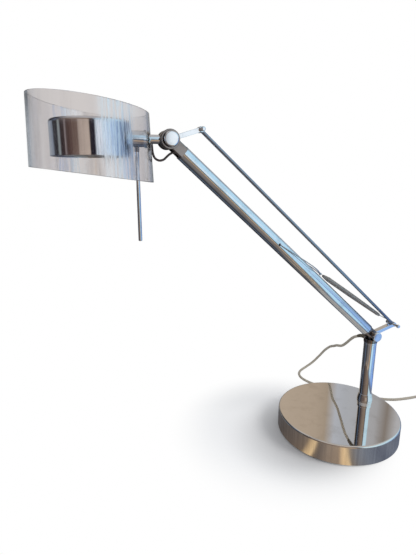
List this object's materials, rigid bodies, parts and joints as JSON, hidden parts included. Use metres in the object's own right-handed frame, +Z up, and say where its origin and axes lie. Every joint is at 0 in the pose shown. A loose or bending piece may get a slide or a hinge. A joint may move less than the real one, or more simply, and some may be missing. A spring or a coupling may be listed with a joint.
{
  "type": "architect lamp",
  "caption": "Desk lamp with a heavy disc base, a sprung parallel arm, a drum head inside a clear slanted shade, a handle rod and a mains cord.",
  "frame": {"origin": "centre of the base's underside, on the table", "axes": "+Z up; the arm lies in a plane parallel to XZ and reaches towards -X; +Y is the far side"},
  "size_m": [0.8578, 0.3207, 0.5204],
  "materials": {
    "felt": "dark foot pad",
    "base_chrome": "polished",
    "iron": "cast",
    "steel": "plain",
    "chrome": "polished",
    "joint": "polished, ringed",
    "arm": "satin chrome",
    "spring_steel": "dark wire",
    "drum": "mirror polished",
    "aluminium": "polished",
    "ceramic": "ceramic",
    "bulb_glass": "clear",
    "lens": "frosted",
    "shade": "clear, slightly smoky",
    "cable": "dark sheath",
    "cord": "grey sheath",
    "plug": "moulded",
    "nylon": "plain"
  },
  "bodies": {
    "base": {"foot_pad": "felt", "base_cover": "base_chrome", "base_weight": "iron", "bolt_washer": "steel", "base_bolt": "steel", "post_plug": "steel", "ferrule": "chrome", "post": "chrome", "post_bush": "chrome", "mains_cord": "cord", "cord_coil": "cord", "plug_body": "plug", "plug_pins": "steel"},
    "swivel": {"swivel_block": "joint", "swivel_clip": "steel", "lower_bolt": "chrome", "lower_lever": "chrome", "lower_pin": "chrome", "cord_relief": "nylon"},
    "lower_knob": {"lower_knob": "chrome"},
    "arm": {"arm_fork_low": "joint", "arm_tube": "arm", "arm_fork_high": "joint", "arm_cable": "cable", "yoke": "steel", "spring": "spring_steel", "upper_bolt": "chrome", "cap_near": "joint", "cap_far": "joint"},
    "rod": {"parallel_rod": "chrome"},
    "hub": {"hinge_hub": "joint", "lever_near": "chrome", "lever_far": "chrome", "upper_pin": "chrome", "neck_tube": "chrome", "head_cable": "cable"},
    "upper_knob": {"upper_knob": "chrome"},
    "head": {"head_sleeve": "chrome", "drum": "drum", "drum_nut": "steel", "lamp_holder": "ceramic", "bulb": "bulb_glass", "reflector": "aluminium", "lens_glass": "lens", "lens_ring": "aluminium", "shade": "shade", "handle_fitting": "chrome", "handle_rod": "chrome"}
  },
  "joints": [
    {"name": "swivel_turn", "type": "hinge", "parent": "base", "child": "swivel", "pos_m": [0.068, 0.017, 0.143], "axis": [0, 0, 1], "range_deg": [-150, 150], "deforming": ["mains_cord"]},
    {"name": "arm_lift", "type": "hinge", "parent": "swivel", "child": "arm", "pos_m": [0.068, 0.017, 0.16], "axis": [0, 1, 0], "range_deg": [-25, 40], "deforming": ["spring", "yoke"]},
    {"name": "rod_turn", "type": "hinge", "parent": "swivel", "child": "rod", "pos_m": [0.11175, 0.017, 0.17354], "axis": [0, 1, 0], "range_deg": [-25, 40]},
    {"name": "hub_level", "type": "hinge", "parent": "arm", "child": "hub", "pos_m": [-0.28292, 0.017, 0.47266], "axis": [0, 1, 0], "range_deg": [-40, 25], "deforming": ["head_cable"]},
    {"name": "head_roll", "type": "hinge", "parent": "hub", "child": "head", "pos_m": [-0.381, 0.017, 0.47266], "axis": [1, 0, 0], "range_deg": [-60, 60]},
    {"name": "lower_knob_turn", "type": "hinge", "parent": "swivel", "child": "lower_knob", "pos_m": [0.068, 0.017, 0.16], "axis": [0, 1, 0], "range_deg": [-180, 180]},
    {"name": "upper_knob_turn", "type": "hinge", "parent": "arm", "child": "upper_knob", "pos_m": [-0.28292, 0.017, 0.47266], "axis": [0, 1, 0], "range_deg": [-180, 180]}
  ],
  "couplings": [
    {"joint": "rod_turn", "follows": "arm_lift", "ratio": 1},
    {"joint": "hub_level", "follows": "arm_lift", "ratio": -1}
  ]
}
